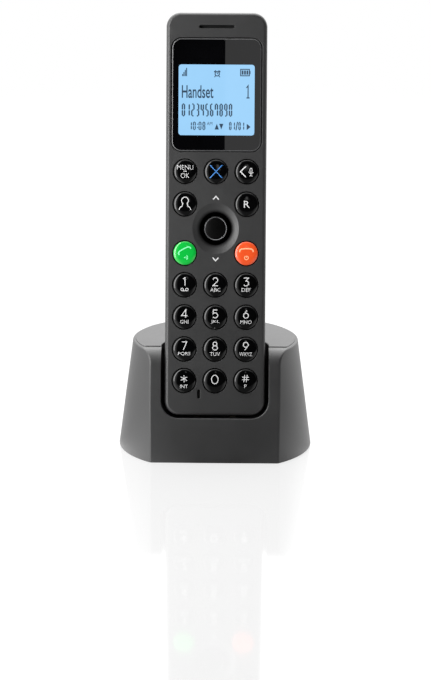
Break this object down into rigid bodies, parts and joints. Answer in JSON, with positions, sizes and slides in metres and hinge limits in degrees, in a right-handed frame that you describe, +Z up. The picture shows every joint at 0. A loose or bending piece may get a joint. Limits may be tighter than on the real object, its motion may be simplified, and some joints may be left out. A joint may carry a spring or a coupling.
{
  "type": "cordless phone with base",
  "caption": "Slim cordless telephone handset with a screen, round keys and a dished joystick, standing in a round base with a flat front.",
  "frame": {"origin": "on the table, under the middle of the base's outline", "axes": "+X to the right seen from the front, +Y to the back, +Z up"},
  "size_m": [0.0866, 0.0761, 0.1935],
  "materials": {
    "shell_charcoal": "fine satin moulding",
    "key_black": "polished",
    "key_green": "polished",
    "key_red": "polished",
    "window_black": "polished clear acrylic over a black print",
    "screen_blue": "backlit liquid crystal",
    "diffuser_white": "light guide",
    "board_green": "circuit board lacquer",
    "rubber_grey": "moulded",
    "bare_steel": "plated",
    "gold_contact": "gold plated",
    "cell_sleeve": "printed sleeve",
    "part_black": "moulded"
  },
  "bodies": {
    "base": {"base_upper_shell": "shell_charcoal", "base_bottom_plate": "shell_charcoal", "base_board": "board_green", "line_socket": "part_black", "power_socket": "part_black", "base_contact_left": "gold_contact", "base_contact_right": "gold_contact", "page_switch": "part_black", "foot_front_left": "rubber_grey", "foot_front_right": "rubber_grey", "foot_back_left": "rubber_grey", "foot_back_right": "rubber_grey", "base_screw_front_left": "bare_steel", "base_screw_front_right": "bare_steel", "base_screw_back_left": "bare_steel", "base_screw_back_right": "bare_steel"},
    "handset": {"handset_front_shell": "shell_charcoal", "handset_rear_shell": "shell_charcoal", "display_window": "window_black", "lcd_panel": "screen_blue", "lcd_backlight": "diffuser_white", "handset_board": "board_green", "keypad_mat": "rubber_grey", "earpiece_receiver": "part_black", "hands_free_speaker": "part_black", "microphone": "bare_steel", "battery_tray": "part_black", "battery_cell_left": "cell_sleeve", "battery_cell_right": "cell_sleeve", "battery_spring_left": "bare_steel", "battery_spring_right": "bare_steel", "battery_contact_lower": "bare_steel", "battery_contact_upper": "bare_steel", "charge_contact_left": "gold_contact", "charge_contact_right": "gold_contact", "handset_screw_left": "bare_steel", "handset_screw_right": "bare_steel", "joystick_switch": "bare_steel"},
    "key_menu_ok": {"key_menu_ok": "key_black"},
    "key_block": {"key_block": "key_black"},
    "key_back_mute": {"key_back_mute": "key_black"},
    "key_contacts": {"key_contacts": "key_black"},
    "key_recall": {"key_recall": "key_black"},
    "key_talk": {"key_talk": "key_green"},
    "key_end": {"key_end": "key_red"},
    "key_1": {"key_1": "key_black"},
    "key_2": {"key_2": "key_black"},
    "key_3": {"key_3": "key_black"},
    "key_4": {"key_4": "key_black"},
    "key_5": {"key_5": "key_black"},
    "key_6": {"key_6": "key_black"},
    "key_7": {"key_7": "key_black"},
    "key_8": {"key_8": "key_black"},
    "key_9": {"key_9": "key_black"},
    "key_star": {"key_star": "key_black"},
    "key_0": {"key_0": "key_black"},
    "key_hash": {"key_hash": "key_black"},
    "nav_joystick": {"nav_joystick": "key_black"},
    "battery_cover": {"battery_cover": "shell_charcoal"},
    "page_button": {"page_button": "shell_charcoal"}
  },
  "joints": [
    {"name": "handset_lift", "type": "slide", "parent": "base", "child": "handset", "axis": [0, 0.1908, 0.9816], "range_m": [0, 0.06]},
    {"name": "key_menu_ok_press", "type": "slide", "parent": "handset", "child": "key_menu_ok", "axis": [0, 0.9816, -0.1908], "range_m": [0, 0.0007], "stiffness_N_per_m": 60, "springref_m": -0.001},
    {"name": "key_block_press", "type": "slide", "parent": "handset", "child": "key_block", "axis": [0, 0.9816, -0.1908], "range_m": [0, 0.0007], "stiffness_N_per_m": 60, "springref_m": -0.001},
    {"name": "key_back_mute_press", "type": "slide", "parent": "handset", "child": "key_back_mute", "axis": [0, 0.9816, -0.1908], "range_m": [0, 0.0007], "stiffness_N_per_m": 60, "springref_m": -0.001},
    {"name": "key_contacts_press", "type": "slide", "parent": "handset", "child": "key_contacts", "axis": [0, 0.9816, -0.1908], "range_m": [0, 0.0007], "stiffness_N_per_m": 60, "springref_m": -0.001},
    {"name": "key_recall_press", "type": "slide", "parent": "handset", "child": "key_recall", "axis": [0, 0.9816, -0.1908], "range_m": [0, 0.0007], "stiffness_N_per_m": 60, "springref_m": -0.001},
    {"name": "key_talk_press", "type": "slide", "parent": "handset", "child": "key_talk", "axis": [0, 0.9816, -0.1908], "range_m": [0, 0.0007], "stiffness_N_per_m": 60, "springref_m": -0.001},
    {"name": "key_end_press", "type": "slide", "parent": "handset", "child": "key_end", "axis": [0, 0.9816, -0.1908], "range_m": [0, 0.0007], "stiffness_N_per_m": 60, "springref_m": -0.001},
    {"name": "key_1_press", "type": "slide", "parent": "handset", "child": "key_1", "axis": [0, 0.9816, -0.1908], "range_m": [0, 0.0007], "stiffness_N_per_m": 60, "springref_m": -0.001},
    {"name": "key_2_press", "type": "slide", "parent": "handset", "child": "key_2", "axis": [0, 0.9816, -0.1908], "range_m": [0, 0.0007], "stiffness_N_per_m": 60, "springref_m": -0.001},
    {"name": "key_3_press", "type": "slide", "parent": "handset", "child": "key_3", "axis": [0, 0.9816, -0.1908], "range_m": [0, 0.0007], "stiffness_N_per_m": 60, "springref_m": -0.001},
    {"name": "key_4_press", "type": "slide", "parent": "handset", "child": "key_4", "axis": [0, 0.9816, -0.1908], "range_m": [0, 0.0007], "stiffness_N_per_m": 60, "springref_m": -0.001},
    {"name": "key_5_press", "type": "slide", "parent": "handset", "child": "key_5", "axis": [0, 0.9816, -0.1908], "range_m": [0, 0.0007], "stiffness_N_per_m": 60, "springref_m": -0.001},
    {"name": "key_6_press", "type": "slide", "parent": "handset", "child": "key_6", "axis": [0, 0.9816, -0.1908], "range_m": [0, 0.0007], "stiffness_N_per_m": 60, "springref_m": -0.001},
    {"name": "key_7_press", "type": "slide", "parent": "handset", "child": "key_7", "axis": [0, 0.9816, -0.1908], "range_m": [0, 0.0007], "stiffness_N_per_m": 60, "springref_m": -0.001},
    {"name": "key_8_press", "type": "slide", "parent": "handset", "child": "key_8", "axis": [0, 0.9816, -0.1908], "range_m": [0, 0.0007], "stiffness_N_per_m": 60, "springref_m": -0.001},
    {"name": "key_9_press", "type": "slide", "parent": "handset", "child": "key_9", "axis": [0, 0.9816, -0.1908], "range_m": [0, 0.0007], "stiffness_N_per_m": 60, "springref_m": -0.001},
    {"name": "key_star_press", "type": "slide", "parent": "handset", "child": "key_star", "axis": [0, 0.9816, -0.1908], "range_m": [0, 0.0007], "stiffness_N_per_m": 60, "springref_m": -0.001},
    {"name": "key_0_press", "type": "slide", "parent": "handset", "child": "key_0", "axis": [0, 0.9816, -0.1908], "range_m": [0, 0.0007], "stiffness_N_per_m": 60, "springref_m": -0.001},
    {"name": "key_hash_press", "type": "slide", "parent": "handset", "child": "key_hash", "axis": [0, 0.9816, -0.1908], "range_m": [0, 0.0007], "stiffness_N_per_m": 60, "springref_m": -0.001},
    {"name": "nav_joystick_tilt", "type": "hinge", "parent": "handset", "child": "nav_joystick", "pos_m": [0, -0.01482, 0.10094], "axis": [1, 0, 0], "range_deg": [-6, 6], "stiffness_Nm_per_rad": 0.0005},
    {"name": "battery_cover_off", "type": "slide", "parent": "handset", "child": "battery_cover", "axis": [0, 0.9816, -0.1908], "range_m": [0, 0.025]},
    {"name": "page_button_press", "type": "slide", "parent": "base", "child": "page_button", "axis": [0, -0.9915, -0.1302], "range_m": [0, 0.0008], "stiffness_N_per_m": 60, "springref_m": -0.001}
  ]
}
